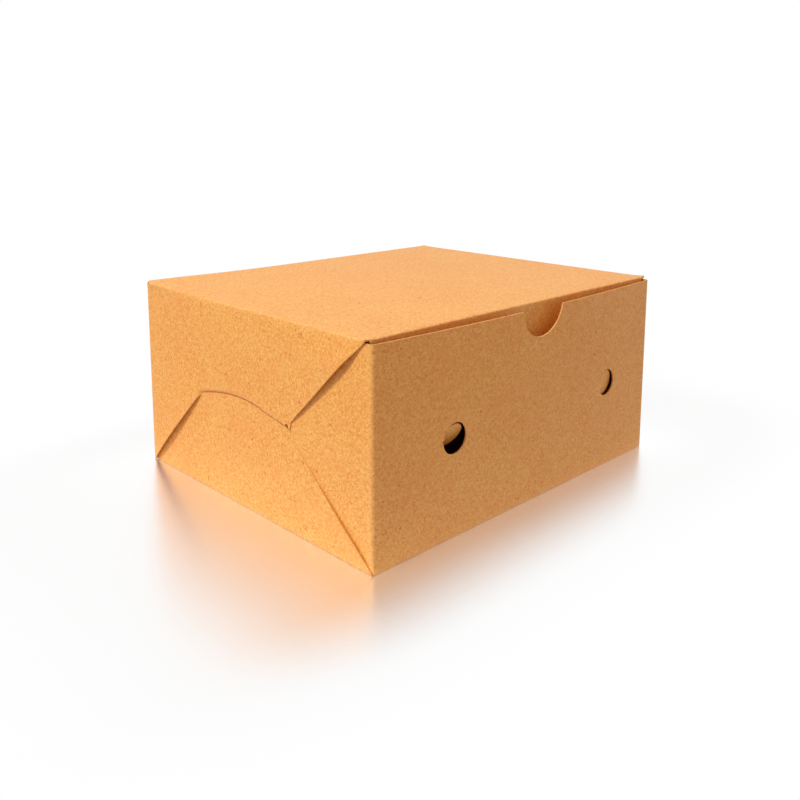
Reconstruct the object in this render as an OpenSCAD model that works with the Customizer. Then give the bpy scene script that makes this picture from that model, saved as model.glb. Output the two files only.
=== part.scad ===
// Kraft snack box, cut and creased from one sheet of board.
// The base tray is the floor, the front wall and two low side walls. The cover is the back wall,
// the lid, its tuck flap and two side wings, and it swings open on the fold behind the floor.
// Each wing hooks a tongue behind the low side wall, along a curved lock line.
// Origin: middle of the floor's underside. +X right, +Y to the back, +Z up, millimetres.

/* [Box] */
// Outside width of the closed box
box_w = 150; // [120:1:220]
// Outside depth of the closed box
box_d = 125; // [110:1:180]
// Outside height of the closed box
box_h = 70; // [60:1:90]

/* [Board] */
// Thickness of the board
board_t = 0.5; // [0.3:0.05:0.8]
// Outside radius of a fold
fold_r = 0.9; // [0.8:0.1:2.5]
// Play between board faces that slide past each other
play = 0.2; // [0.1:0.05:0.5]

/* [Front wall] */
// Drop from the lid's top to the front wall's top edge
front_drop = 1; // [0.8:0.1:4]
// Gap between the front wall and the tuck flap behind it
front_gap = 1.8; // [0.2:0.1:3]
// Radius of the thumb notch
notch_r = 11; // [8:0.5:15]
// Thumb notch's centre, right of the box's middle
notch_x = 0; // [-20:0.5:20]
// Thumb notch's centre, above the front wall's top edge
notch_rise = 1; // [0:0.5:4]

/* [Vents] */
// Diameter of a vent
vent_d = 10; // [6:0.5:13]
// Height of the vents' centres
vent_z = 33.5; // [20:0.5:34]
// Left vent's centre, left of the box's middle
vent_left = 40.5; // [28:0.5:48]
// Right vent's centre, right of the box's middle
vent_right = 45; // [28:0.5:50]
// Cut between a vent's edge and its hanging disc
vent_kerf = 0.3; // [0.15:0.05:0.6]
// Width of the uncut neck that holds a disc
neck_w = 3; // [1.5:0.5:5]
// Direction of the left disc's neck, anticlockwise from the right
left_neck_deg = 80; // [60:5:200]
// Angle by which the left disc is pushed in
left_push_deg = 27; // [5:1:60]
// Direction of the right disc's neck, anticlockwise from the right
right_neck_deg = 140; // [60:5:200]
// Angle by which the right disc is pushed in
right_push_deg = 7; // [5:1:60]

/* [Tuck flap] */
// Gap from the top of the vents up to the tuck flap's lower edge
tuck_gap = 3.5; // [2:0.5:10]
// Distance of the tuck flap's ends from the box's sides
tuck_inset = 4; // [3:0.5:15]
// Radius of the tuck flap's lower corners
tuck_corner_r = 12; // [4:1:16]

/* [Side lock] */
// Rear end of the lock line, in front of the box's back
lock_rear = 35; // [26:0.5:38]
// Front end of the lock line, behind the box's front
lock_front = 39; // [37:0.5:46]
// Height of the lock line's ends
lock_h = 35; // [28:0.5:36]
// Rise of the lock line between its ends
lock_rise = 4; // [2:0.5:6]
// Depth of the tongue below the lock line's ends
tongue_depth = 20; // [12:1:24]
// Slant of the tongue's two ends, from root to tip
tongue_slant = 9; // [4:1:14]
// Radius of the tongue's corners
tongue_corner_r = 6; // [2:1:9]
// Length of the bend that takes the tongue behind the low wall
bend_l = 6; // [3:0.5:10]

/* [Low side wall] */
// Gap from the front fold to the foot of the wall's slanted front edge
seam_foot = 1.5; // [1:0.5:3]
// Hollow of the wall's slanted front edge
seam_hollow = 1; // [0.5:0.1:2]
// Gap from the back of the box to the wall's rear edge
rear_gap = 1; // [0.8:0.1:6]
// Overlap of the wall behind the wing's rear edge
rear_lap = 8; // [4:1:12]
// Gap between the tongue and the front wall's corner flap
corner_gap = 1.5; // [0.5:0.5:4]

/* [Glue tab] */
// Length of the back wall's glue tab inside a wing
tab_l = 24; // [10:1:30]
// Height of the glue tab at the back wall
tab_h = 26; // [12:1:28]
// Taper of the glue tab's upper and lower edges
tab_taper = 5; // [1:1:6]

/* [Hidden] */
$fn = 64;
side_colour = [0.85, 0.60, 0.35];
lid_colour = [0.88, 0.66, 0.42];
corner_steps = 8;
spare = 5;

half_w = box_w / 2;
half_d = box_d / 2;
inner_fold_r = fold_r - board_t;
front_h = box_h - front_drop;

// Outer faces of the board's layers at a side, from the outside in
wall_x = half_w - board_t - play;
corner_x = wall_x - board_t;
tongue_x = wall_x - board_t - play;

// The lid stops behind the front wall
tuck_y = -half_d + board_t + front_gap;
tuck_foot_z = vent_z + vent_d / 2 + tuck_gap;
tuck_half_w = half_w - tuck_inset;

// The fold that the cover swings on
hinge_y = half_d - board_t / 2;
hinge_z = board_t / 2;
floor_rear_y = half_d - board_t - play;

// The lock line is an arc. Side outlines use the distance from the back and the height.
lock_front_f = box_d - lock_front;
lock_chord = lock_front_f - lock_rear;
lock_r = lock_chord * lock_chord / (8 * lock_rise) + lock_rise / 2;
lock_mid_f = (lock_front_f + lock_rear) / 2;
lock_mid_z = lock_h + lock_rise - lock_r;
bend_low_r = lock_r + play;
bend_high_r = bend_low_r + bend_l;

// The low side wall's hidden rear end and its slanted front edge
wall_rear_f = lock_rear - rear_lap;
wall_front_f = box_d - seam_foot - lock_h;
corner_flap_f = lock_front_f + corner_gap;

function lock_z(f) = lock_mid_z + sqrt(lock_r * lock_r - pow(f - lock_mid_f, 2));
function along(f0, f1, n) = [for (i = [0 : n]) f0 + (f1 - f0) * i / n];
function lock_line(f0, f1) = [for (f = along(f0, f1, corner_steps * 3)) [f, lock_z(f)]];
function arc(centre, r, a0, a1) =
    [for (a = along(a0, a1, corner_steps)) centre + r * [cos(a), sin(a)]];

// The low side wall's hollow front edge, from its top down to the floor
function seam_line() =
    [for (s = along(0, 1, corner_steps))
        let (hollow = 4 * seam_hollow * s * (1 - s) / sqrt(2))
        [wall_front_f + lock_h * s - hollow, lock_h * (1 - s) - hollow]];

// A rectangle that stands on the first axis, with its two upper corners rounded
module arched(w, h, r) {
    translate([-w / 2, 0]) square([w, h - r]);
    translate([-w / 2 + r, 0]) square([w - 2 * r, h]);
    for (side = [-1, 1])
        translate([side * (w / 2 - r), h - r]) circle(r);
}

// Stands a side outline up and gives it a thickness, from x0 to x1
module side_plate(x0, x1) {
    translate([x0, half_d, 0])
        rotate([0, 0, -90])
            rotate([90, 0, 0])
                translate([0, 0, -(x1 - x0)])
                    linear_extrude(x1 - x0) children();
}

module both_sides() {
    children();
    mirror([1, 0, 0]) children();
}

// Base tray

// Floor and low side walls before their outline is cut: a channel with rounded folds
module channel(half, foot_z, r, y0, y1) {
    translate([0, y1, wall_top()])
        rotate([-90, 0, 0])
            mirror([0, 0, 1])
                linear_extrude(y1 - y0)
                    arched(2 * half, wall_top() - foot_z, r);
}

function wall_top() = lock_h + lock_rise + spare;

module low_wall_outline() {
    polygon(concat(
        [[rear_gap, -spare], [rear_gap, lock_h / 3]],
        lock_line(wall_rear_f, wall_front_f),
        seam_line(),
        [[box_d - seam_foot, -spare]]));
}

module floor_and_side_walls() {
    front_y = -half_d + seam_foot;
    intersection() {
        difference() {
            channel(wall_x, 0, fold_r, front_y, floor_rear_y);
            channel(wall_x - board_t, board_t, inner_fold_r, front_y - spare, half_d + spare);
        }
        union() {
            side_plate(-half_w, half_w) low_wall_outline();
            translate([-half_w, -half_d, 0]) cube([box_w, box_d, board_t]);
        }
    }
}

// Front wall and corner flaps: a trough with rounded folds at its foot and its two ends
module trough(half, inset, r, y1, z1) {
    depth = y1 + half_d - inset;
    intersection() {
        translate([0, y1, inset])
            mirror([0, 1, 0]) linear_extrude(z1 - inset) arched(2 * half, depth, r);
        translate([-half, 0, z1])
            rotate([0, 90, 0])
                mirror([0, 1, 0])
                    linear_extrude(2 * half) front_foot(half_d - inset, z1 - inset, r, y1);
    }
}

// Section of the trough across the box: height runs down the first axis, the front is up the second
module front_foot(front, h, r, y1) {
    translate([0, -y1]) square([h - r, front + y1]);
    translate([0, -y1]) square([h, front + y1 - r]);
    translate([h - r, front - r]) circle(r);
}

module front_and_corner_flaps() {
    rear_y = half_d - corner_flap_f;
    difference() {
        trough(corner_x, 0, fold_r, rear_y, front_h);
        trough(corner_x - board_t, board_t, inner_fold_r, rear_y + spare, front_h + spare);
        translate([notch_x, -half_d - spare, front_h + notch_rise])
            rotate([-90, 0, 0]) cylinder(r = notch_r, h = 2 * spare);
        for (x = [-vent_left, vent_right])
            translate([x, -half_d - spare, vent_z])
                rotate([-90, 0, 0]) cylinder(d = vent_d, h = 2 * spare);
    }
}

// A punched disc that hangs by its neck, pushed into the box
module vent_disc(x, neck_deg, push_deg) {
    r = vent_d / 2;
    translate([x, -half_d, vent_z])
        rotate([0, -neck_deg, 0])
            translate([r, 0, 0]) {
                rotate([0, 0, -push_deg])
                    translate([-r, 0, 0])
                        rotate([-90, 0, 0]) cylinder(r = r - vent_kerf, h = board_t);
                translate([-2 * vent_kerf, 0, -neck_w / 2])
                    cube([3 * vent_kerf, board_t, neck_w]);
            }
}

module base_tray() {
    color(side_colour) {
        floor_and_side_walls();
        front_and_corner_flaps();
        vent_disc(-vent_left, left_neck_deg, left_push_deg);
        vent_disc(vent_right, right_neck_deg, right_push_deg);
    }
}

// Hinged cover

// Lid, back wall, wings and tuck flap before they are cut: a hood whose lid has four rounded folds
module hood(inset, r, foot_z) {
    w = box_w - 2 * inset;
    h = box_h - inset - foot_z;
    front_y = tuck_y + inset;
    depth = half_d - inset - front_y;
    intersection() {
        translate([0, half_d - inset, foot_z])
            rotate([90, 0, 0]) linear_extrude(depth) arched(w, h, r);
        translate([-w / 2, front_y + depth / 2, foot_z])
            rotate([90, 0, 90]) linear_extrude(w) arched(depth, h, r);
    }
}

// What is cut from a wing: all below its rear edge, the lock line's bend and its front edge
module wing_cut_outline() {
    polygon(concat(
        [[0, -spare], [0, 0]],
        [[lock_rear, lock_h]],
        bend_root(),
        [[lock_front_f, lock_h], [half_d - tuck_y, box_h],
         [box_d + spare, box_h], [box_d + spare, -spare]]));
}

// Upper edge of the bend, as an arc on the lock line's centre
lock_half_deg = asin(lock_chord / 2 / lock_r);
function bend_root() =
    arc([lock_mid_f, lock_mid_z], bend_high_r, 90 + lock_half_deg, 90 - lock_half_deg);

// The tongue's outline, wide enough above to hold the whole bend
module tongue_outline() {
    tip_z = lock_h - tongue_depth;
    r = tongue_corner_r;
    lean = atan(tongue_slant / tongue_depth);
    drop = r * tan((90 - lean) / 2);
    rear_tip = [lock_rear + tongue_slant + drop, tip_z + r];
    front_tip = [lock_front_f - tongue_slant - drop, tip_z + r];
    reach = bend_l + lock_rise + spare;
    fan = reach * tan(lock_half_deg);
    polygon(concat(
        [[lock_rear, lock_h]],
        arc(rear_tip, r, 180 + lean, 270),
        arc(front_tip, r, 270, 360 - lean),
        [[lock_front_f, lock_h],
         [lock_front_f + fan, lock_h + reach],
         [lock_rear - fan, lock_h + reach]]));
}

// Board section through wing, bend and tongue: distance from the arc's centre, then depth inwards
module bend_section() {
    tip_r = lock_r - tongue_depth - lock_rise - spare;
    step = half_w - tongue_x;
    lap_r = bend_high_r + board_t;
    polygon([
        [lap_r, 0], [bend_high_r, 0], [bend_low_r, step], [tip_r, step],
        [tip_r, step + board_t], [bend_low_r, step + board_t],
        [bend_high_r, board_t], [lap_r, board_t]]);
}

module tongue() {
    intersection() {
        translate([-half_w, half_d - lock_mid_f, lock_mid_z])
            rotate([0, 90, 0])
                rotate_extrude($fn = 180) bend_section();
        side_plate(-half_w - spare, -half_w + 2 * spare) tongue_outline();
    }
}

module tuck_outline() {
    r = tuck_corner_r;
    w = tuck_half_w;
    foot = tuck_foot_z;
    polygon(concat(
        [[w, box_h], [-w, box_h]],
        arc([-w + r, foot + r], r, 180, 270),
        arc([w - r, foot + r], r, 270, 360)));
}

module hood_front_cut() {
    translate([0, tuck_y + board_t, 0])
        rotate([90, 0, 0])
            linear_extrude(board_t + spare)
                difference() {
                    translate([-half_w - spare, -spare])
                        square([box_w + 2 * spare, box_h - board_t + spare]);
                    tuck_outline();
                }
}

module hood_shell() {
    difference() {
        hood(0, fold_r, 0);
        hood(board_t, inner_fold_r, -spare);
        hood_front_cut();
        translate([-half_w - spare, half_d - board_t - spare, -spare])
            cube([box_w + 2 * spare, 2 * spare, spare + hinge_z]);
        both_sides()
            side_plate(-half_w - spare, -half_w + board_t + play / 2) wing_cut_outline();
    }
}

// A glue tab of the back wall, flat against the inside of a wing
module glue_tab() {
    top_z = box_h - fold_r - play;
    side_plate(-half_w + board_t, -half_w + 2 * board_t)
        polygon([
            [board_t, top_z - tab_h], [board_t, top_z],
            [tab_l, top_z - tab_taper], [tab_l, top_z - tab_h + tab_taper]]);
}

module hinged_cover() {
    color(lid_colour) {
        hood_shell();
        both_sides() {
            tongue();
            glue_tab();
        }
        translate([-half_w, hinge_y, hinge_z])
            rotate([0, 90, 0]) cylinder(d = board_t, h = box_w);
    }
}

base_tray();
hinged_cover();
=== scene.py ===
import math

import bpy
import numpy as np
from mathutils import Matrix
from mathutils.geometry import delaunay_2d_cdt


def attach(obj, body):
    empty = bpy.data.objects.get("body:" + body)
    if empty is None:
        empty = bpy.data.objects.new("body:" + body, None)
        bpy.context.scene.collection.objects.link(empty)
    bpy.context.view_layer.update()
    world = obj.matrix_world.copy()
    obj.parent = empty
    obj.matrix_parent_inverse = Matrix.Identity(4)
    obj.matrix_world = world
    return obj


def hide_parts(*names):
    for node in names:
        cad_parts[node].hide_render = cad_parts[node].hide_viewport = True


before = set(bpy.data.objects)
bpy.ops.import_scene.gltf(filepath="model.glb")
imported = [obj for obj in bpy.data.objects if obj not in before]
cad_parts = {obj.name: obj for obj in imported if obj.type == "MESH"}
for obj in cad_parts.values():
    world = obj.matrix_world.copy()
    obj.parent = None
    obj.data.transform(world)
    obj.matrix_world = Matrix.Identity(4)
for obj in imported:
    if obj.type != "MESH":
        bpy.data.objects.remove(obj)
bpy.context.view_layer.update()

# Base tray: the floor, the front wall and two low side walls, die-cut and creased from one sheet of
# half-millimetre brown kraft board. The ends of the front wall turn in as corner flaps and are glued
# behind the low side walls. A thumb notch and two punched vents open the front wall.

# Sizes are in millimetres. On the flat blank, p runs across and q towards the back, from the middle.
# On a side of the box, f is the distance from the back and z the height.
mm = 0.001
box_w = 150.0
box_d = 125.0
box_h = 70.0
half_d = box_d / 2

board_t = 0.5
fold_r = 0.6
fold_mid = fold_r - board_t / 2
fold_run = fold_mid * math.pi / 2
fold_steps = 4
corner_mid = 1.1
corner_run = corner_mid * math.pi / 2
layer_step = 0.7
flap_step = 0.85
tray_side = box_w / 2 - layer_step - fold_r
tray_front = half_d - fold_r
tray_rear = half_d - layer_step
tray_rear_nick = 0.8
flap_side = box_w / 2 - flap_step - corner_mid

# The low side wall's top edge is a flat arc that has settled a little towards the front.
lock_rear_f = 35.0
lock_front_f = 86.0
lock_h = 34.7
lock_rise = 3.6
lock_chord = lock_front_f - lock_rear_f
lock_r = lock_chord * lock_chord / (8 * lock_rise) + lock_rise / 2
lock_mid_f = (lock_rear_f + lock_front_f) / 2
lock_mid_z = lock_h + lock_rise - lock_r
lock_sag = 1.0
lock_sag_f = 77.0
lock_sag_run = 10.5
lock_steps = 60
wall_past_lock = 8.0
wall_rear_f = lock_rear_f - wall_past_lock
wall_rear_h = lock_h / 3
wall_rear_gap = 0.3
wall_front_f = 88.3
wall_lean = 0.15

# The low wall's front edge is a hollow seam. It is flush at the top and stands off lower down.
seam_foot_f = 124.3
seam_foot_z = 1.2
seam_hollow = 1.75
seam_skew = 0.45
seam_steps = 40
seam_stand = 0.32
seam_reach = 7.0
seam_flush = 8.0
seam_open_run = 20.0
seam_foot_run = 3.0

front_h = 69.0
front_bow = 3.0
front_bow_rise = 1.6
notch_x = 1.2
notch_r = 11.0
notch_rise = 1.0
notch_steps = 49
vents = ({"x": -40.2, "z": 33.4, "hole_r": 5.2, "disc_r": 4.6, "neck": 178.0, "tilt": 86.0,
          "push": 28.6, "sink": 0.1},
         {"x": 45.25, "z": 33.25, "hole_r": 5.05, "disc_r": 4.7, "neck": 205.0, "tilt": 141.0,
          "push": 9.0, "sink": 0.1})
vent_steps = 60
vent_margin = 0.6
neck_half_deg = 13.0
neck_run = 3.0
ring_radii = (0.8, 1.7, 2.6, 3.4, 4.1, 5.9)
ring_points = 6

# Each corner flap is drawn in behind the low wall, least where the wall's top front corner holds it.
flap_foot_z = 0.95
flap_reach = 38.1
flap_nick = 0.1
flap_nick_depth = 0.9
flap_trim = 1.0
flap_top_start = 3.0
flap_top_drop = 1.5
flap_chamfer = 3.0
flap_chamfer_drop = 6.0
flap_draw = 0.6
flap_draw_slope = 0.9
flap_draw_shortest = 2.0
flap_draw_longest = 32.0
flap_hold = 0.6
flap_hold_run = 14.0


def smooth(t):
    """A soft step from 0 to 1."""
    t = np.clip(t, 0, 1)
    return t * t * (3 - 2 * t)


def up_wall(z):
    """Board used from a fold's start on the floor to a height on the wall."""
    return fold_run + z - board_t / 2 - fold_mid


def sagged(f):
    """How far the lock line has settled below its arc."""
    return lock_sag * np.exp(-((f - lock_sag_f) / lock_sag_run) ** 2)


def lock_z(f):
    """Height of the lock line, the low wall's top edge."""
    return lock_mid_z + np.sqrt(lock_r * lock_r - (f - lock_mid_f) ** 2) - sagged(f)


def turn(centre, r, first_deg, last_deg, steps):
    """Points along an arc, angles in degrees."""
    angles = np.radians(np.linspace(first_deg, last_deg, steps))
    return [(centre[0] + r * math.cos(a), centre[1] + r * math.sin(a)) for a in angles]


def front_q(z):
    """Place on the blank of a height on the front wall."""
    return -tray_front - up_wall(z)


def tray_outline():
    """The tray's cut outline: the right side from the back, the notch, then the left side."""
    rear_q = half_d - wall_rear_gap
    side = [(tray_side - tray_rear_nick, tray_rear), (tray_side, rear_q),
            (tray_side + up_wall(wall_rear_h), rear_q)]
    for f in np.linspace(wall_rear_f, wall_front_f, lock_steps):
        side.append((tray_side + up_wall(lock_z(f)), half_d - f))
    for s in np.linspace(0, 1, seam_steps)[1:]:
        skewed = s ** seam_skew
        hollow = 4 * seam_hollow * skewed * (1 - skewed) / math.sqrt(2)
        z = lock_z(wall_front_f) * (1 - s) + seam_foot_z * s - hollow
        if z > fold_r:
            f = wall_front_f + (seam_foot_f - wall_front_f) * s - hollow
            side.append((tray_side + up_wall(z), half_d - f))
    flap_start = flap_side + corner_run
    flap_end = flap_start + flap_reach - corner_mid
    side += [(tray_side, half_d - seam_foot_f), (flap_side - flap_nick, -tray_front),
             (flap_side + corner_run / 2, -tray_front - fold_run / 2),
             (flap_start, -tray_front - fold_run * flap_nick_depth),
             (flap_end - flap_trim, front_q(flap_foot_z)),
             (flap_end, front_q(flap_foot_z + flap_trim)),
             (flap_end, front_q(front_h - flap_chamfer_drop)),
             (flap_end - flap_chamfer, front_q(front_h - flap_top_drop)),
             (flap_start + flap_top_start, front_q(front_h))]
    notch_deg = math.degrees(math.asin(notch_rise / notch_r))
    notch = turn((notch_x, front_q(front_h) - notch_rise), notch_r,
                 notch_deg, 180 - notch_deg, notch_steps)
    return side + notch + [(-p, q) for p, q in reversed(side)]


def vent_centre(vent):
    """A vent's middle on the blank."""
    return (vent["x"], front_q(vent["z"]))


def vent_cut(vent):
    """The C-shaped cut round a vent's disc, open at the neck."""
    first = -vent["neck"] - neck_half_deg
    last = first - 360 + 2 * neck_half_deg
    return (turn(vent_centre(vent), vent["hole_r"], first, last, vent_steps)
            + turn(vent_centre(vent), vent["disc_r"], last, first, vent_steps))


def by_vent(points):
    """True for each point in or just round a vent."""
    near = np.zeros(len(points), bool)
    for vent in vents:
        near |= np.hypot(*(points - vent_centre(vent)).T) < vent["hole_r"] + vent_margin
    return near


vent_rings = []
for vent in vents:
    for ring, r in enumerate(ring_radii, 1):
        count = ring_points * ring
        vent_rings += turn(vent_centre(vent), r, 0, 360 - 360 / count, count)

hair = 1e-6
merge_gap = 1e-5
shortest_edge = 0.15
longest_edge = 2.0
rim_clear = 0.3
line_clear = 0.2
grid_step = 2.5


def crossed(outline, p_lines, q_lines):
    """The outline with extra points where it meets the grid's lines and along its long edges."""
    points = []
    for (p0, q0), (p1, q1) in zip(outline, outline[1:] + outline[:1]):
        length = math.hypot(p1 - p0, q1 - q0)
        if length < hair:
            continue
        cuts = list(np.linspace(0, 1, max(2, math.ceil(length / longest_edge) + 1))[:-1])
        for lines, a, b in ((p_lines, p0, p1), (q_lines, q0, q1)):
            if abs(b - a) > hair:
                cuts += [t for t in (lines - a) / (b - a) if 0 < t < 1]
        kept = 0.0
        points.append((p0, q0))
        for t in sorted(cuts):
            if (t - kept) * length > shortest_edge and (1 - t) * length > shortest_edge:
                points.append((p0 + (p1 - p0) * t, q0 + (q1 - q0) * t))
                kept = t
    return points


def inside(outline, points):
    """True for each point within a closed outline."""
    hit = np.zeros(len(points), bool)
    p, q = points[:, 0], points[:, 1]
    for (p0, q0), (p1, q1) in zip(outline, outline[1:] + outline[:1]):
        if q0 == q1:
            continue
        spans = (q0 > q) != (q1 > q)
        hit ^= spans & (p < (p1 - p0) * (q - q0) / (q1 - q0) + p0)
    return hit


def clearance(outline, points):
    """Distance from each point to the nearest edge of a closed outline."""
    best = np.full(len(points), np.inf)
    for start, end in zip(outline, outline[1:] + outline[:1]):
        a, d = np.array(start), np.subtract(end, start)
        t = np.clip((points - a) @ d / max(d @ d, hair * hair), 0, 1)
        best = np.minimum(best, np.linalg.norm(points - a - t[:, None] * d, axis=1))
    return best


def grid_lines(low, high, folds):
    """Evenly spaced lines, with closer ones through each fold: its start, run and side."""
    close = [s * (start + run * i / fold_steps)
             for start, run, s in folds for i in range(fold_steps + 1)]
    even = [v for v in np.arange(low, high, grid_step)
            if all(abs(v - c) > line_clear for c in close)]
    return np.array(sorted(set(close + even)))


def blank(name, outline, cuts, p_lines, q_lines, extra, dropped):
    """A flat sheet mesh of a die-cut blank, and its points. Extra points stand in for dropped ones."""
    rims = [crossed(rim, p_lines, q_lines) for rim in [outline, *cuts]]
    grid = np.array([(p, q) for p in p_lines for q in q_lines])
    grid = np.vstack([grid[~dropped(grid)], extra])
    keep = inside(rims[0], grid) & (clearance(rims[0], grid) > rim_clear)
    for rim in rims[1:]:
        keep &= ~inside(rim, grid) & (clearance(rim, grid) > rim_clear)
    points = []
    edges = []
    for rim in rims:
        first = len(points)
        edges += [(first + i, first + (i + 1) % len(rim)) for i in range(len(rim))]
        points += rim
    points += [tuple(v) for v in grid[keep]]
    places, _, triangles, *_ = delaunay_2d_cdt(points, edges, [], 0, merge_gap)
    places = np.array(places)
    middles = np.array([places[list(t)].mean(axis=0) for t in triangles])
    wanted = inside(rims[0], middles)
    for rim in rims[1:]:
        wanted &= ~inside(rim, middles)
    faces = [t for t, w in zip(triangles, wanted) if w]
    mesh = bpy.data.meshes.new(name)
    mesh.from_pydata([(p, q, 0.0) for p, q in places], [], faces)
    return mesh, places


crease_reach = 1.25


def near_fold(run):
    """1 along the middle of a fold, fading out just past its two ends."""
    return np.clip(crease_reach - np.abs(run / fold_run - 0.5), 0, 1) ** 2


class Wire:
    """A socket of a node tree. Arithmetic adds Math nodes, and node() adds any other."""

    def __init__(self, tree, socket=None):
        self.tree = tree
        self.socket = socket

    def node(self, kind, settings, inputs, output=0):
        """Adds a node, sets it up, links or fills its inputs, and returns one of its outputs."""
        made = self.tree.nodes.new(kind)
        for name, value in settings.items():
            setattr(made, name, value)
        for name, value in inputs.items():
            if isinstance(value, Wire):
                self.tree.links.new(value.socket, made.inputs[name])
            else:
                made.inputs[name].default_value = value
        return Wire(self.tree, made.outputs[output]) if len(made.outputs) else None

    def twin(self, output):
        """Another output of the same node."""
        return Wire(self.tree, self.socket.node.outputs[output])

    def math(self, operation, *others):
        inputs = {0: self}
        inputs.update({i + 1: other for i, other in enumerate(others)})
        return self.node("ShaderNodeMath", {"operation": operation}, inputs)

    def between(self, low, high):
        return self.math("MAXIMUM", low).math("MINIMUM", high)

    def rising(self, low, high):
        """A soft step from 0 at low to 1 at high."""
        return self.node("ShaderNodeMapRange", {"interpolation_type": "SMOOTHSTEP"},
                         {0: self, 1: low, 2: high})

    def __add__(self, other):
        return self.math("ADD", other)

    __radd__ = __add__

    def __sub__(self, other):
        return self.math("SUBTRACT", other)

    def __rsub__(self, other):
        return self * -1 + other

    def __mul__(self, other):
        return self.math("MULTIPLY", other)

    __rmul__ = __mul__

    def __truediv__(self, other):
        return self.math("DIVIDE", other)


def fold_tree():
    """Folds a flat blank into walls: sides about Y, then front and back about X."""
    tree = bpy.data.node_groups.new("fold_blank", "GeometryNodeTree")
    face = tree.interface
    face.new_socket("Geometry", in_out="INPUT", socket_type="NodeSocketGeometry")
    for name in ("Side fold", "Side step", "Front fold", "Front half width", "Corner radius",
                 "Back fold", "Wing end", "Sheet height", "Wall direction"):
        face.new_socket(name, in_out="INPUT", socket_type="NodeSocketFloat")
    face.new_socket("Board", in_out="INPUT", socket_type="NodeSocketMaterial")
    face.new_socket("Geometry", in_out="OUTPUT", socket_type="NodeSocketGeometry")
    given = Wire(tree).node("NodeGroupInput", {}, {})
    side, step = given.twin("Side fold"), given.twin("Side step")
    front, back = given.twin("Front fold"), given.twin("Back fold")
    height, way = given.twin("Sheet height"), given.twin("Wall direction")

    place = given.node("GeometryNodeInputPosition", {}, {})
    p = place.node("ShaderNodeSeparateXYZ", {}, {0: place})
    q = p.twin("Y")
    width, sign = p.math("ABSOLUTE"), p.math("SIGN")
    in_wing = width.math("GREATER_THAN", side) * q.math("LESS_THAN", given.twin("Wing end"))
    has_front = width.math("LESS_THAN", given.twin("Front half width"))

    quarter_turn = math.pi / 2
    front_run = (-1 * q - front) * has_front
    back_run = (q - back) * (1 - in_wing)
    front_turn = (front_run / fold_mid).between(0, quarter_turn)
    back_turn = (back_run / fold_mid).between(0, quarter_turn)
    side_start = side - step * (front_turn + back_turn) / quarter_turn
    side_mid = fold_mid + (given.twin("Corner radius") - fold_mid) * front_turn / quarter_turn
    loose = place.node("GeometryNodeInputNamedAttribute", {"data_type": "FLOAT"}, {"Name": "loose"})
    side_run = (width - side_start) * (1 - loose)
    side_turn = (side_run / side_mid).between(0, quarter_turn)

    flat_width = width - side_run.math("MAXIMUM", 0)
    x = sign * (flat_width + side_mid * side_turn.math("SINE"))
    side_drop = (side_mid * (1 - side_turn.math("COSINE"))
                 + (side_run - side_mid * quarter_turn).math("MAXIMUM", 0))
    level = q - (back_run.math("MAXIMUM", 0)) + front_run.math("MAXIMUM", 0)
    y = level - fold_mid * front_turn.math("SINE") + fold_mid * back_turn.math("SINE")
    drop = (fold_mid * (2 - front_turn.math("COSINE") - back_turn.math("COSINE"))
            + (front_run - fold_run).math("MAXIMUM", 0)
            + (back_run - fold_run).math("MAXIMUM", 0))
    z = height + way * drop
    inward_y = front_turn.math("SINE") - back_turn.math("SINE")
    inward_z = way * front_turn.math("COSINE") * back_turn.math("COSINE")

    bow = place.node("GeometryNodeInputNamedAttribute", {"data_type": "FLOAT"}, {"Name": "bow"})
    reach = side_drop - bow * side_turn.math("COSINE")
    x = x + sign * bow * side_turn.math("SINE")
    folded = x.node("ShaderNodeCombineXYZ", {},
                    {0: x, 1: y + inward_y * reach, 2: z + inward_z * reach})
    metres = folded.node("ShaderNodeVectorMath", {"operation": "SCALE"}, {0: folded, "Scale": mm})
    moved = metres.node("GeometryNodeSetPosition", {}, {"Geometry": given, "Position": metres})
    real = moved.node("GeometryNodeRealizeInstances", {}, {0: moved})
    done = real.node("GeometryNodeSetMaterial", {},
                     {"Geometry": real, "Material": given.twin("Board")})
    done.node("NodeGroupOutput", {}, {0: done})
    return tree


def empty_material(name):
    """A material with an empty node tree, and the tree's first wire."""
    material = bpy.data.materials.new(name)
    material.use_nodes = True
    material.node_tree.nodes.clear()
    return material, Wire(material.node_tree)


def shade(below, above, amount):
    """One colour laid over another."""
    return amount.node("ShaderNodeMix", {"data_type": "RGBA"}, {0: amount, 6: below, 7: above}, 2)


pulp_dark = (0.71, 0.19, 0.0, 1)
pulp_light = (0.89, 0.478, 0.112, 1)
mottle_share = 0.5
grain_share = 0.42
cloud_share = 0.08
blush_colour = (0.82, 0.305, 0.06, 1)
blush_most = 0.3
fibre_colour = (0.96, 0.60, 0.24, 1)
fibre_most = 0.42
fibre_width = 0.035
fibre_turns = (0.25, -1.1)
fibre_stretch = (0.28, 1.0, 1.0)
fleck_colour = (0.58, 0.135, 0.0, 1)
fleck_most = 0.75
speck_colour = (0.63, 0.155, 0.0, 1)
speck_most = 0.75
bright_colour = (0.97, 0.63, 0.30, 1)
bright_most = 0.6
spot_least = 0.4
spot_core = 0.5
# Lighter colour along the folds: partly wear of the creased fibres, partly a painted highlight where a
# fold's edge catches the light.
wear_and_highlight_colour = (0.93, 0.50, 0.17, 1)
wear_and_highlight_least = 0.1
wear_and_highlight_grain = 0.2
wear_and_highlight_most = 0.5
mottle_height = 0.6
grain_height = 0.4
fibre_height = 0.25
board_rough = 0.66
board_rough_swing = 0.12
pattern_turn = (0.7, 0.5, 0.4)
pattern_shift = (31.7, 12.3, 45.1)


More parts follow.
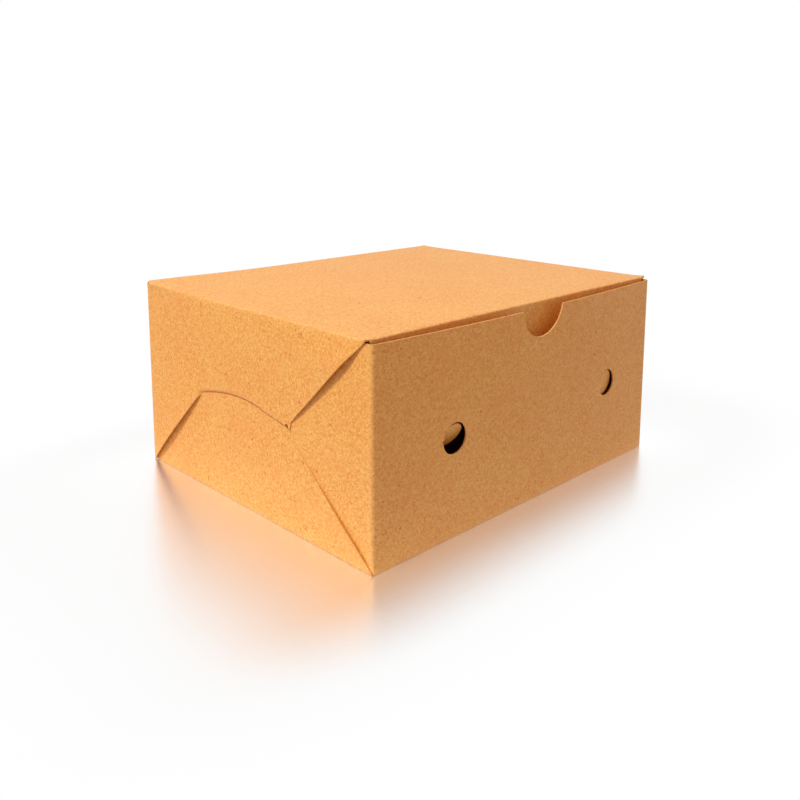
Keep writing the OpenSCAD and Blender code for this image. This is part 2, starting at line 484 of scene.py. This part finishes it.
def kraft_board():
    """Brown kraft board: mottled pulp, dark flecks, pale fibres, and a lighter line on each fold that
    is partly wear of the cracked creased fibres and partly a painted highlight.
    """
    material, start = empty_material("kraft_board")
    place = start.node("ShaderNodeAttribute", {"attribute_name": "blank"}, {}, "Vector")
    crease = start.node("ShaderNodeAttribute", {"attribute_name": "crease"}, {}, "Fac")

    def noise(where, scale, detail, rough=0.5, twist=0.0):
        return where.node("ShaderNodeTexNoise", {},
                          {"Vector": where, "Scale": scale, "Detail": detail,
                           "Roughness": rough, "Distortion": twist})

    def specks(scale, size, share, wobble):
        """Ragged spots scattered over the sheet, on a share of the cells, each of its own size."""
        stray = noise(place, scale=1.5, detail=1.0)
        torn = place.node("ShaderNodeMix", {"data_type": "VECTOR"},
                          {0: wobble, 4: place, 5: stray.twin("Color")}, 1)
        spot = torn.node("ShaderNodeTexVoronoi", {"voronoi_dimensions": "2D"},
                         {"Vector": torn, "Scale": scale})
        luck = spot.twin("Color").node("ShaderNodeSeparateColor", {}, {0: spot.twin("Color")})
        rim = size * scale * (spot_least + (1 - spot_least) * luck.twin("Green"))
        return (1 - (spot / rim).rising(spot_core, 1.0)) * luck.math("LESS_THAN", share)

    turned = place.node("ShaderNodeMapping", {}, {"Vector": place, "Rotation": pattern_turn,
                                                  "Location": pattern_shift})
    cloud = noise(turned, scale=0.045, detail=2.0)
    blush = noise(turned, scale=0.11, detail=2.0)
    mottle = noise(turned, scale=1.05, detail=4.0, rough=0.72)
    grain = noise(turned, scale=2.4, detail=1.0)
    tone = (mottle.rising(low=0.36, high=0.64) * mottle_share
            + grain.rising(low=0.35, high=0.65) * grain_share
            + cloud.rising(low=0.3, high=0.7) * cloud_share)
    pulp = shade(pulp_dark, pulp_light, tone)
    pulp = shade(pulp, blush_colour, blush.rising(low=0.5, high=0.7) * blush_most)

    fibres = []
    for angle in fibre_turns:
        where = turned.node("ShaderNodeMapping", {}, {"Vector": turned, "Rotation": (0, 0, angle),
                                                      "Scale": fibre_stretch})
        ridge = (noise(where, scale=1.0, detail=1.0, twist=0.6) - 0.5).math("ABSOLUTE")
        patch = noise(where, scale=0.5, detail=1.0).rising(low=0.5, high=0.64)
        fibres.append((1 - ridge.rising(0.0, fibre_width)) * patch)
    fibre = fibres[0].math("MAXIMUM", fibres[1])
    pulp = shade(pulp, fibre_colour, fibre * fibre_most)

    fleck = specks(scale=0.16, size=0.75, share=0.12, wobble=0.12)
    speck = specks(scale=0.34, size=0.5, share=0.16, wobble=0.08)
    bright = specks(scale=0.6, size=0.34, share=0.22, wobble=0.05)
    pulp = shade(pulp, fleck_colour, fleck * fleck_most)
    pulp = shade(pulp, speck_colour, speck * speck_most)
    pulp = shade(pulp, bright_colour, bright * bright_most)
    # Lighter line on each fold, strongest along its middle: part crease wear, part painted highlight.
    wear_and_highlight = crease * (wear_and_highlight_least + grain * wear_and_highlight_grain)
    pulp = shade(pulp, wear_and_highlight_colour, wear_and_highlight.between(0, wear_and_highlight_most))

    height = mottle * mottle_height + grain * grain_height + fibre * fibre_height
    bump = height.node("ShaderNodeBump", {}, {"Strength": 0.35, "Distance": 0.00012,
                                              "Height": height})
    rough = board_rough - mottle * board_rough_swing
    paper = pulp.node("ShaderNodeBsdfPrincipled", {},
                      {"Base Color": pulp, "Roughness": rough, "Normal": bump,
                       "Specular IOR Level": 0.5, "Coat Weight": 0.25, "Coat Roughness": 0.45})
    paper.node("ShaderNodeOutputMaterial", {}, {"Surface": paper})
    return material


edge_dark = (0.62, 0.25, 0.06, 1)
edge_light = (0.88, 0.48, 0.16, 1)
edge_rough = 0.9
edge_rough_swing = 0.1


def cut_edge():
    """The raw cut edge of the board: matt, with fibres torn by the knife."""
    material, start = empty_material("cut_edge")
    place = start.node("ShaderNodeTexCoord", {}, {}, "Object")
    torn = place.node("ShaderNodeTexNoise", {}, {"Vector": place, "Scale": 2400.0, "Detail": 2.0})
    colour = shade(edge_dark, edge_light, torn.rising(low=0.3, high=0.7))
    edge = colour.node("ShaderNodeBsdfPrincipled", {},
                       {"Base Color": colour, "Roughness": edge_rough - torn * edge_rough_swing,
                        "Specular IOR Level": 0.2})
    edge.node("ShaderNodeOutputMaterial", {}, {"Surface": edge})
    return material


board_material = kraft_board()
edge_material = cut_edge()
fold_blank = fold_tree()
sharp_deg = 38.0


def folded_piece(name, mesh, places, bow, crease, loose, sizes):
    """Folds a blank, gives it the board's thickness, and returns it as one plain mesh object."""
    for label, values in (("bow", bow), ("crease", crease), ("loose", loose)):
        mesh.attributes.new(label, "FLOAT", "POINT").data.foreach_set("value", values)
    flat = np.column_stack([places, np.zeros(len(places))])
    mesh.attributes.new("blank", "FLOAT_VECTOR", "POINT").data.foreach_set("vector", flat.ravel())
    mesh.materials.append(board_material)
    mesh.materials.append(edge_material)
    piece = bpy.data.objects.new(name, mesh)
    bpy.context.scene.collection.objects.link(piece)
    folding = piece.modifiers.new("fold", "NODES")
    folding.node_group = fold_blank
    for item in fold_blank.interface.items_tree:
        if item.in_out == "INPUT" and item.name in sizes:
            folding[item.identifier] = sizes[item.name]
    board = piece.modifiers.new("board", "SOLIDIFY")
    board.thickness = board_t * mm
    board.offset = 0.0
    board.use_quality_normals = True
    board.material_offset_rim = 1
    evaluated = piece.evaluated_get(bpy.context.evaluated_depsgraph_get())
    solid = bpy.data.meshes.new_from_object(evaluated)
    piece.modifiers.clear()
    piece.data = solid
    solid.name = name
    solid.shade_smooth()
    solid.set_sharp_from_angle(angle=math.radians(sharp_deg))
    return piece


tray_grid_half = 115.0
tray_grid_front = -135.0
tray_grid_rear = 62.0
tray_folds = [(start, run, s) for start, run in ((tray_side, fold_run), (flap_side, corner_run))
              for s in (1, -1)]
tray_p = grid_lines(-tray_grid_half, tray_grid_half, tray_folds)
tray_q = grid_lines(tray_grid_front, tray_grid_rear, [(tray_front, fold_run, -1)])
tray_mesh, tray_at = blank("base_tray_board", tray_outline(), [vent_cut(vent) for vent in vents],
                           tray_p, tray_q, vent_rings, by_vent)
p, q = tray_at[:, 0].copy(), tray_at[:, 1].copy()
width = np.abs(p)

on_front = (-q > tray_front + fold_run) & (width < flap_side)
wall_z = np.clip(-q - tray_front - fold_run + fold_r, 0, front_h)
bowed = front_bow * (1 - (p / flap_side) ** 2) * (wall_z / front_h) ** front_bow_rise
bow = np.where(on_front, bowed, 0.0)

on_low = (width > tray_side) & (q > -tray_front)
low_z = np.clip(width - tray_side - fold_run + fold_r, 0, box_h)
bow -= np.where(on_low, wall_lean * low_z / lock_h, 0.0)
seam_along = np.array([seam_foot_f - wall_front_f, seam_foot_z - lock_z(wall_front_f)])
seam_along = seam_along / np.linalg.norm(seam_along)
from_top = np.column_stack([half_d - q - wall_front_f, low_z - lock_z(wall_front_f)])
along = from_top @ seam_along
away = np.abs(from_top @ [seam_along[1], -seam_along[0]])
lifted = (seam_stand * smooth((along - seam_flush) / seam_open_run) * smooth(low_z / seam_foot_run)
          * np.exp(-(away / seam_reach) ** 2))
bow += np.where(on_low, lifted, 0.0)

on_flap = (width > flap_side) & (q < -tray_front)
behind = np.clip(width - flap_side - corner_run + corner_mid, 0, None)
from_hold = np.hypot(box_d - behind - wall_front_f, wall_z - lock_h)
drawn = flap_draw * (1 - flap_hold * np.exp(-(from_hold / flap_hold_run) ** 2))
draw_length = np.clip(flap_draw_slope * wall_z, flap_draw_shortest, flap_draw_longest)
bow -= np.where(on_flap, drawn * smooth(behind / draw_length), 0.0)

crease = np.where(q > -tray_front, near_fold(width - tray_side),
                  near_fold((width - flap_side) * fold_run / corner_run))
crease = np.maximum(crease, np.where(width < tray_side, near_fold(-q - tray_front), 0.0))
for vent in vents:
    tilt = math.radians(vent["tilt"])
    neck = math.radians(vent["neck"])
    push = math.radians(vent["push"])
    out = np.array([math.cos(tilt), -math.sin(tilt)])
    off = tray_at - vent_centre(vent)
    root = vent["hole_r"] * np.array([math.cos(neck), -math.sin(neck)])
    disc = np.linalg.norm(off, axis=1) < (vent["hole_r"] + vent["disc_r"]) / 2
    free = np.where(disc, smooth(np.linalg.norm(off - root, axis=1) / neck_run), 0.0)
    reach = np.clip(vent["disc_r"] - off @ out, 0, None)
    p += free * reach * (1 - math.cos(push)) * out[0]
    q += free * reach * (1 - math.cos(push)) * out[1]
    bow -= free * (vent["sink"] + reach * math.sin(push))
moved = np.column_stack([p, q, np.zeros(len(p))])
tray_mesh.vertices.foreach_set("co", moved.ravel())
tray = folded_piece("kraft_base_tray", tray_mesh, tray_at, bow, crease, np.zeros(len(p)), {
    "Side fold": tray_side, "Side step": tray_side - flap_side, "Front fold": tray_front,
    "Front half width": box_w, "Corner radius": corner_mid, "Back fold": box_d, "Wing end": 0.0,
    "Sheet height": board_t / 2, "Wall direction": 1.0, "Board": board_material})
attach(tray, "base")
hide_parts("base_tray")

# Hinged cover: the back wall, the lid with its tuck flap and two side wings, from the same sheet.
# It swings on the fold behind the floor. Each wing lies over the low side wall at its slanted edges
# and hooks a tongue behind it along the curved lock line. Glue tabs hold the wings to the back wall.

lid_setback = 2.3
lid_trim = 0.2
lid_front = half_d - lid_setback - lid_trim
lid_front_f = box_d - lid_setback
corner_lift = 0.9
corner_lift_back = 14.0
corner_lift_side = 30.0
cover_side = box_w / 2 - fold_r
cover_back = half_d - fold_r
cover_front = half_d - lid_setback - fold_r
cover_fold_play = 0.001
tuck_half = 72.6
tuck_fold_half = 73.0
tuck_foot_z = 42.0
tuck_corner_r = 12.0
tuck_corner_steps = 16
tuck_nick = 0.8
tuck_neck = 1.0
tuck_crease = 0.3

back_foot_z = 0.3
back_hollow = 0.5
foot_curl = 0.6
foot_curl_run = 1.0
tab_side = cover_side - board_t
tab_reach = 24.0
tab_low = 14.0
tab_high = 66.0
tab_end_low = 28.0
tab_end_high = 61.0
nick_in = 0.3
nick_mouth = 1.2
nick_depth = 1.0
nick_root = 0.4

wing_end_play = 0.05
wing_end = half_d + wing_end_play
wing_top_z = 69.0
wing_top_trim = 0.4
wing_front_share = 0.8
wing_toe = ((0.0, 0.25), (0.2, 0.04), (0.8, 0.3))
wing_nose = ((86.5, 34.5), (87.0, 35.2), (87.44, 37.2))
tongue_depth = 20.0
tongue_slant = 9.0
tongue_corner_r = 6.0
tongue_corner_steps = 12
slit_r = 0.8
slit_run = 2.2
hole_r = 0.8
hole_f = 85.3
hole_z = 35.4
hole_first_deg = 225.0
hole_last_deg = -45.0
hole_steps = 10


def down_wall(z):
    """Board used from a fold's start on the lid to a height on the wall below it."""
    return fold_run + box_h - board_t / 2 - fold_mid - z


def back_q(z):
    """Place on the blank of a height on the back wall."""
    return cover_back + down_wall(z)


def wing_at(f, z):
    """A wing's point on the blank, from its distance from the back and its height."""
    return (cover_side + down_wall(z), half_d - f)


def cover_outline():
    """The cover's cut outline: the right side from the back wall's foot, then the left side."""
    tab_start = tab_side + fold_run
    tab_end = tab_start + tab_reach - fold_mid
    nick_p = tab_side - nick_in
    side = [(cover_side, back_q(back_foot_z)), (cover_side, back_q(tab_low - nick_mouth)),
            (nick_p, back_q(tab_low - nick_depth)), (nick_p, back_q(tab_low - nick_root)),
            (tab_start, back_q(tab_low)), (tab_end, back_q(tab_end_low)),
            (tab_end, back_q(tab_end_high)), (tab_start, back_q(tab_high)),
            (nick_p, back_q(tab_high + nick_root)), (cover_side, back_q(tab_high + nick_depth)),
            (cover_side, cover_back), (cover_side + fold_run / 2, half_d - wing_top_trim)]
    lean = math.degrees(math.atan(tongue_slant / tongue_depth))
    drop = tongue_corner_r * math.tan(math.radians((90 - lean) / 2))
    tip_z = lock_h - tongue_depth + tongue_corner_r
    rear_tip = (lock_rear_f + tongue_slant + drop, tip_z)
    front_tip = (lock_front_f - tongue_slant - drop, tip_z)
    wing = [(0.0, wing_top_z), *wing_toe,
            (lock_rear_f - slit_r, lock_h - slit_r), (lock_rear_f, lock_h + slit_r / 2),
            (lock_rear_f + slit_r, lock_h - slit_r)]
    wing += turn(rear_tip, tongue_corner_r, 180 + lean, 270, tongue_corner_steps)
    wing += turn(front_tip, tongue_corner_r, 270, 360 - lean, tongue_corner_steps)
    wing += [(lock_front_f - slit_run - slit_r, lock_h - slit_r),
             *turn((hole_f, hole_z), hole_r, hole_first_deg, hole_last_deg, hole_steps), *wing_nose]
    side += [wing_at(f, z) for f, z in wing]
    side += [(cover_side + fold_run * wing_front_share, -lid_front), (cover_side, -lid_front),
             (tuck_half + tuck_nick, -lid_front), (tuck_half, -cover_front - fold_run - tuck_neck)]
    tuck_foot = -cover_front - down_wall(tuck_foot_z)
    corner = (tuck_half - tuck_corner_r, tuck_foot + tuck_corner_r)
    side += turn(corner, tuck_corner_r, 0, -90, tuck_corner_steps)
    return side + [(-p, q) for p, q in reversed(side)]


def wing_sides(points):
    """Distance from the back, height and rise above the lock line of points on the blank."""
    f = half_d - points[:, 1]
    z = box_h - board_t / 2 - fold_mid - (np.abs(points[:, 0]) - cover_side - fold_run)
    return f, z, np.hypot(f - lock_mid_f, z - lock_mid_z) - lock_r + sagged(f)


lock_band_low = -2.0
lock_band_high = 4.0
lock_band_past = 4.0


def by_lock(points):
    """True for each point of a wing in the band along the lock line."""
    f, z, above = wing_sides(points)
    return ((np.abs(points[:, 0]) > cover_side)
            & (above > lock_band_low) & (above < lock_band_high)
            & (f > lock_rear_f - lock_band_past) & (f < lock_front_f + lock_band_past))


row_heights = (-1.5, -0.8, -0.2, 0.3, 0.8, 1.3, 1.8, 2.4, 3.2)
row_past_rear = 3.5
row_step = 1.2
lock_rows = []
for above in row_heights:
    for f in np.arange(lock_rear_f - row_past_rear, lock_front_f + lock_band_past, row_step):
        z = lock_mid_z + math.sqrt((lock_r + above) ** 2 - (f - lock_mid_f) ** 2) - sagged(f)
        lock_rows.append(wing_at(f, z))
lock_rows += [(-p, q) for p, q in lock_rows]

cover_grid_half = 147.0
cover_grid_front = -95.0
cover_grid_rear = 135.0
cover_folds = [(start, fold_run, s) for start in (cover_side, tab_side) for s in (1, -1)]
cover_p = grid_lines(-cover_grid_half, cover_grid_half, cover_folds)
cover_q = grid_lines(cover_grid_front, cover_grid_rear,
                     [(cover_front, fold_run, -1), (cover_back, fold_run, 1)])
cover_mesh, cover_at = blank("hinged_cover_board", cover_outline(), [], cover_p, cover_q,
                             lock_rows, by_lock)
p, q = cover_at[:, 0], cover_at[:, 1]
width = np.abs(p)

# The wing turns in behind the low wall along the lock line, within a window between its two ends.
hook_depth = 1.05
hook_run = 1.2
hook_past_rear = 0.8
hook_past_front = 0.4
hook_soft = 0.7
hook_flare = 0.5
hook_flare_top = 20.0
hook_fade = 4.0
draw_in = 0.25
draw_run = 18.0
f, z, above = wing_sides(cover_at)
on_wing = (width > cover_side) & (q < wing_end)
spread = hook_soft + np.clip(above, 0, hook_flare_top) * hook_flare
window = (smooth((f - lock_rear_f + hook_past_rear + spread) / (2 * spread))
          * smooth((lock_front_f + hook_past_front + spread - f) / (2 * spread)))
wall_at = wall_lean * np.clip(z, 0, lock_h) / lock_h
hook = -((hook_depth + wall_at) * smooth(1 - above / hook_run) * window
         + draw_in * smooth(1 - above / draw_run) * window)

# Its two slanted free edges spring out a little, and its front corner is pressed flat by the slit.
rear_standoff = 1.45
rear_lean = 0.62
front_standoff = 1.2
front_lean = 2.6
stand_reach = 16.0
edge_lift = 0.2
edge_lean = 1.0
edge_reach = 4.0
glued_run = 3.0
crease_run = 8.0
press = 0.5
press_f = 87.0
press_z = 35.8
press_run = 4.0


def edge_stand(start, end, amount, lean, reach):
    """Outward stand of a wing along one free edge, most at a share of its length."""
    d = np.subtract(end, start)
    length = math.hypot(*d)
    d = d / length
    s = np.clip(((f - start[0]) * d[0] + (z - start[1]) * d[1]) / length, 0, 1) ** lean
    away = np.abs((f - start[0]) * d[1] - (z - start[1]) * d[0])
    return amount * 4 * s * (1 - s) * np.exp(-(away / reach) ** 2)


foot = (0.0, 0.0)
lock_rear = (lock_rear_f, lock_h)
lock_front = (lock_front_f, lock_h)
lid_corner = (lid_front_f, box_h)
stand = edge_stand(foot, lock_rear, rear_standoff, rear_lean, stand_reach)
stand += edge_stand(lock_front, lid_corner, front_standoff, front_lean, stand_reach)
stand += edge_stand(lock_front, lid_corner, edge_lift, edge_lean, edge_reach)
stand *= smooth(f / glued_run) * smooth((box_h - fold_r - z) / crease_run)
stand *= 1 - window * smooth(1 - above / hook_fade)
pressed = press * np.exp(-(np.hypot(f - press_f, z - press_z) / press_run) ** 2) * (1 - window)
bow = np.where(on_wing, hook + stand - pressed, 0.0)

# The lid's side folds swell at their ends, and the lid's left back corner rides up.
ear = 0.35
ear_run = 3.0
ends = np.exp(-(f / ear_run) ** 2) + np.exp(-((f - half_d - lid_front) / ear_run) ** 2)
bow += np.where(q < half_d, ear * ends * near_fold(width - cover_side), 0.0)
raised = corner_lift * np.exp(-(f / corner_lift_back) ** 2 - ((p + cover_side) / corner_lift_side) ** 2)
raised *= np.clip(1 - (width - cover_side) / fold_run, 0, 1)
raised *= np.clip(1 - (q - cover_back) / fold_run, 0, 1)
bow += raised

on_back = (q > cover_back + fold_run) & (width < tab_side)
back_z = box_h - (q - cover_back - fold_run + fold_r)
hollowed = back_hollow * (1 - (p / tab_side) ** 2) * np.sin(np.pi * back_z / box_h)
curled = foot_curl * np.clip(1 - back_z / foot_curl_run, 0, 1) ** 2
bow -= np.where(on_back, hollowed + curled, 0.0)
on_tab = (back_z > tab_low - nick_in) & (back_z < tab_high + nick_in)
off_sides = (q > cover_back + cover_fold_play) & (width <= cover_side + cover_fold_play)
loose = np.where(off_sides & ~on_tab, 1.0, 0.0)
crease = np.where(q < wing_end, near_fold(width - cover_side),
                  np.where(on_tab, near_fold(width - tab_side), 0.0))
crease = np.maximum(crease, np.where(width < cover_side, near_fold(q - cover_back), 0.0))
on_tuck_fold = tuck_crease * near_fold(-q - cover_front)
crease = np.maximum(crease, np.where(width < tuck_half, on_tuck_fold, 0.0))
cover = folded_piece("kraft_hinged_cover", cover_mesh, cover_at, bow, crease, loose, {
    "Side fold": cover_side, "Side step": board_t, "Front fold": cover_front,
    "Front half width": tuck_fold_half, "Corner radius": fold_mid, "Back fold": cover_back,
    "Wing end": wing_end, "Sheet height": box_h - board_t / 2, "Wall direction": -1.0,
    "Board": board_material})
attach(cover, "cover")
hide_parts("hinged_cover")

# Studio: a pale table with a soft shine beside the box that runs out to white, a small lamp high on
# the left, a broad one overhead, and a white room whose light is warm. The camera stands off the
# box's left front corner, a little above the lid.

white = (1, 1, 1, 1)
table_half = 4.0
table_z = 0.0
table_grey = (0.5, 0.5, 0.5, 1)
table_rough = 0.6
table_rough_swing = 0.1
glow_beside = 0.88
glow_start = 0.01
glow_end = 0.12
shine_most = 0.85
shine_end = 0.075
shine_narrowing = 4.0


def pale_table():
    """A table that is white to the eye and grey to the light, with a shine that fades outwards."""
    material, start = empty_material("pale_table")
    place = start.node("ShaderNodeTexCoord", {}, {}, "Object")
    across = place.node("ShaderNodeSeparateXYZ", {}, {0: place})
    out_x = (across.math("ABSOLUTE") - box_w / 2 * mm).math("MAXIMUM", 0)
    out_y = (across.twin("Y").math("ABSOLUTE") - half_d * mm).math("MAXIMUM", 0)
    away = (out_x * out_x + out_y * out_y * shine_narrowing).math("SQRT")
    grain = place.node("ShaderNodeTexNoise", {}, {"Vector": place, "Scale": 40.0})
    matt = start.node("ShaderNodeBsdfPrincipled", {},
                      {"Base Color": table_grey, "Roughness": table_rough + grain * table_rough_swing,
                       "Specular IOR Level": 0.0})
    seen = start.node("ShaderNodeLightPath", {}, {})
    glow = start.node("ShaderNodeEmission", {}, {"Color": white, "Strength": 1.0})
    level = glow_beside + (1 - glow_beside) * away.rising(glow_start, glow_end)
    lit = seen.math("MAXIMUM", seen.twin("Is Glossy Ray")) * level
    table = lit.node("ShaderNodeMixShader", {}, {0: lit, 1: matt, 2: glow})
    gloss = start.node("ShaderNodeBsdfGlossy", {}, {"Color": white, "Roughness": 0.28})
    shine = (1 - away.rising(0.0, shine_end)) * shine_most
    table = shine.node("ShaderNodeMixShader", {}, {0: shine, 1: table, 2: gloss})
    table.node("ShaderNodeOutputMaterial", {}, {"Surface": table})
    return material


table_mesh = bpy.data.meshes.new("table_top")
corners = [(-1, -1), (1, -1), (1, 1), (-1, 1)]
table_mesh.from_pydata([(sx * table_half, sy * table_half, table_z) for sx, sy in corners], [],
                       [(0, 1, 2, 3)])
table_mesh.materials.append(pale_table())
table_top = bpy.data.objects.new("table_top", table_mesh)
bpy.context.scene.collection.objects.link(table_top)


def lamp(name, from_way, watts, size, colour):
    """A square soft lamp about one metre from the box, aimed at it."""
    made = bpy.data.objects.new(name, bpy.data.lights.new(name, "AREA"))
    made.data.energy = watts
    made.data.color = colour
    made.data.size = size
    made.location = from_way
    made.rotation_euler = (-made.location).to_track_quat("-Z", "Y").to_euler()
    bpy.context.scene.collection.objects.link(made)


lamp("key_lamp", from_way=(-0.69, 0.06, 0.72), watts=6.6, size=0.16, colour=(0.9, 1.0, 1.0))
lamp("fill_lamp", from_way=(0.35, -0.25, 0.9), watts=2.8, size=0.8, colour=(0.7, 1.0, 0.97))

room_level = 0.49
room_tint = (1.0, 0.73, 0.64, 1)
world = bpy.data.worlds.new("white_room")
world.use_nodes = True
world.node_tree.nodes.clear()
seen = Wire(world.node_tree).node("ShaderNodeLightPath", {}, {})
shown = seen.math("MAXIMUM", seen.twin("Is Glossy Ray"))
strength = room_level + shown * (1 - room_level)
tint = shade(room_tint, white, shown)
room = strength.node("ShaderNodeBackground", {}, {"Color": tint, "Strength": strength})
room.node("ShaderNodeOutputWorld", {}, {"Surface": room})
bpy.context.scene.world = world

eye = (-229.53, -231.83, 128.85)
eye_yaw = math.radians(44.413)
eye_pitch = math.radians(9.166)
eye_roll = math.radians(0.153)
camera = bpy.data.objects.new("photo_camera", bpy.data.cameras.new("photo_camera"))
camera.data.sensor_width = 36.0
camera.data.lens = 38.49
camera.data.shift_y = -0.17
camera.data.clip_start = 0.01
camera.location = [c * mm for c in eye]
camera.rotation_euler = (Matrix.Rotation(-eye_yaw, 3, "Z")
                         @ Matrix.Rotation(math.pi / 2 - eye_pitch, 3, "X")
                         @ Matrix.Rotation(eye_roll, 3, "Z")).to_euler()
bpy.context.scene.collection.objects.link(camera)
bpy.context.scene.camera = camera
bpy.context.scene.view_settings.view_transform = "Standard"
